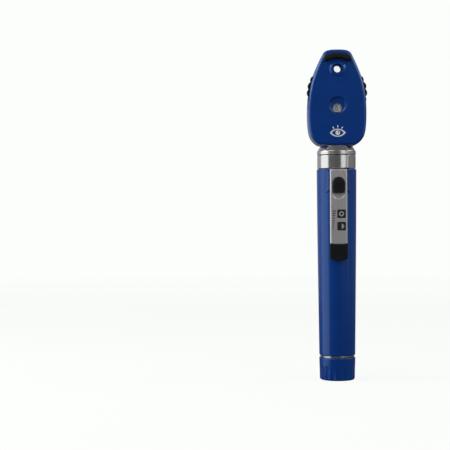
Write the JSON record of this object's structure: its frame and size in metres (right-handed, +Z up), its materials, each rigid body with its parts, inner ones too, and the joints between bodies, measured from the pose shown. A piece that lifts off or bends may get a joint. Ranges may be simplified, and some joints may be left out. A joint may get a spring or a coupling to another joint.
{
  "type": "pocket ophthalmoscope",
  "caption": "Slim battery handle with a pocket clip and slide switch, under a flat shield-shaped optical head with a viewing hole, a scalloped lens wheel and a dioptre readout.",
  "frame": {"origin": "centre of the end cap's flat base", "axes": "+Z up the handle's axis towards the head, -Y out of the examiner's side of the head, where the viewing hole and the clip are, +X to the right as the examiner's side is seen"},
  "size_m": [0.032, 0.0237, 0.175],
  "materials": {
    "blue_lacquer": "smooth satin blue lacquer with a fine grain",
    "chrome": "bright chrome plate",
    "clip_steel": "pressed steel, satin, with bright rolled edges",
    "black_plastic": "moulded black plastic",
    "black_anodised": "matt black anodised",
    "black_rubber": "soft matt black rubber",
    "brass": "bare turned brass",
    "nickel": "nickel plate",
    "spring_steel": "bright steel",
    "white_plastic": "moulded white plastic",
    "dial_white": "white plastic with black figures",
    "cell_jacket": "printed plastic sleeve with bare steel ends",
    "glass": "clear polished glass",
    "mirror": "front-silvered glass"
  },
  "bodies": {
    "end_cap": {"end_cap": "blue_lacquer", "cap_spring": "spring_steel", "cap_contact": "nickel"},
    "cells": {"battery_lower": "cell_jacket", "battery_upper": "cell_jacket"},
    "handle": {"handle_tube": "blue_lacquer", "handle_collar": "chrome", "neck_thread": "brass", "contact_insulator": "white_plastic", "contact_pin": "brass", "terminal_strip": "brass", "battery_sleeve": "nickel", "bottom_thread_ring": "nickel"},
    "clip": {"pocket_clip": "clip_steel", "clip_tip": "black_rubber"},
    "switch": {"switch_slider": "black_plastic", "switch_contact": "brass"},
    "lamp": {"lamp_socket": "white_plastic", "lamp_base": "brass", "lamp_bulb": "glass"},
    "head": {"head_collar": "chrome", "head_front_shell": "blue_lacquer", "head_rear_shell": "blue_lacquer", "rear_window": "glass", "head_screw_left": "spring_steel", "head_screw_right": "spring_steel", "brow_rest": "black_rubber", "lens_wheel_axle": "spring_steel", "detent_spring": "spring_steel", "detent_ball": "spring_steel", "condenser_tube": "black_anodised", "condenser_lens": "glass", "objective_tube": "black_anodised", "objective_lens": "glass", "readout_lens": "glass", "mirror_bracket": "black_anodised", "mirror": "mirror", "aperture_axle": "spring_steel"},
    "lens_wheel": {"lens_wheel": "black_plastic", "dial_disc": "dial_white", "corrective_lens_01": "glass", "corrective_lens_02": "glass", "corrective_lens_03": "glass", "corrective_lens_04": "glass", "corrective_lens_05": "glass", "corrective_lens_06": "glass", "corrective_lens_07": "glass", "corrective_lens_08": "glass", "corrective_lens_09": "glass", "corrective_lens_10": "glass", "corrective_lens_11": "glass", "corrective_lens_12": "glass", "corrective_lens_13": "glass", "corrective_lens_14": "glass", "corrective_lens_15": "glass", "corrective_lens_16": "glass", "corrective_lens_17": "glass", "corrective_lens_18": "glass", "corrective_lens_19": "glass"},
    "aperture_wheel": {"aperture_wheel": "black_plastic"}
  },
  "joints": [
    {"name": "cap_lift", "type": "slide", "parent": "end_cap", "child": "cells", "axis": [0, 0, 1], "range_m": [0, 0.0045]},
    {"name": "cap_unscrew", "type": "hinge", "parent": "cells", "child": "handle", "pos_m": [0, 0, 0.0125], "axis": [0, 0, 1], "range_deg": [0, 1080]},
    {"name": "clip_flex", "type": "hinge", "parent": "handle", "child": "clip", "pos_m": [0, -0.0096, 0.1112], "axis": [-1, 0, 0], "range_deg": [0, 4], "stiffness_Nm_per_rad": 1.35},
    {"name": "switch_slide", "type": "slide", "parent": "clip", "child": "switch", "axis": [0, 0, -1], "range_m": [0, 0.003]},
    {"name": "head_lift", "type": "slide", "parent": "handle", "child": "lamp", "axis": [0, 0, 1], "range_m": [0, 0.0045]},
    {"name": "head_unscrew", "type": "hinge", "parent": "lamp", "child": "head", "pos_m": [0, 0, 0.1193], "axis": [0, 0, 1], "range_deg": [0, 1080]},
    {"name": "lens_wheel_turn", "type": "hinge", "parent": "head", "child": "lens_wheel", "pos_m": [0, -0.0044, 0.1522], "axis": [0, -1, 0], "continuous": true},
    {"name": "aperture_turn", "type": "hinge", "parent": "head", "child": "aperture_wheel", "pos_m": [0, 0.0044, 0.133], "axis": [0, 0, 1], "continuous": true}
  ],
  "couplings": [
    {"joint": "cap_unscrew", "follows": "cap_lift", "rad_per_m": 4188.8},
    {"joint": "head_unscrew", "follows": "head_lift", "rad_per_m": 4188.8}
  ]
}
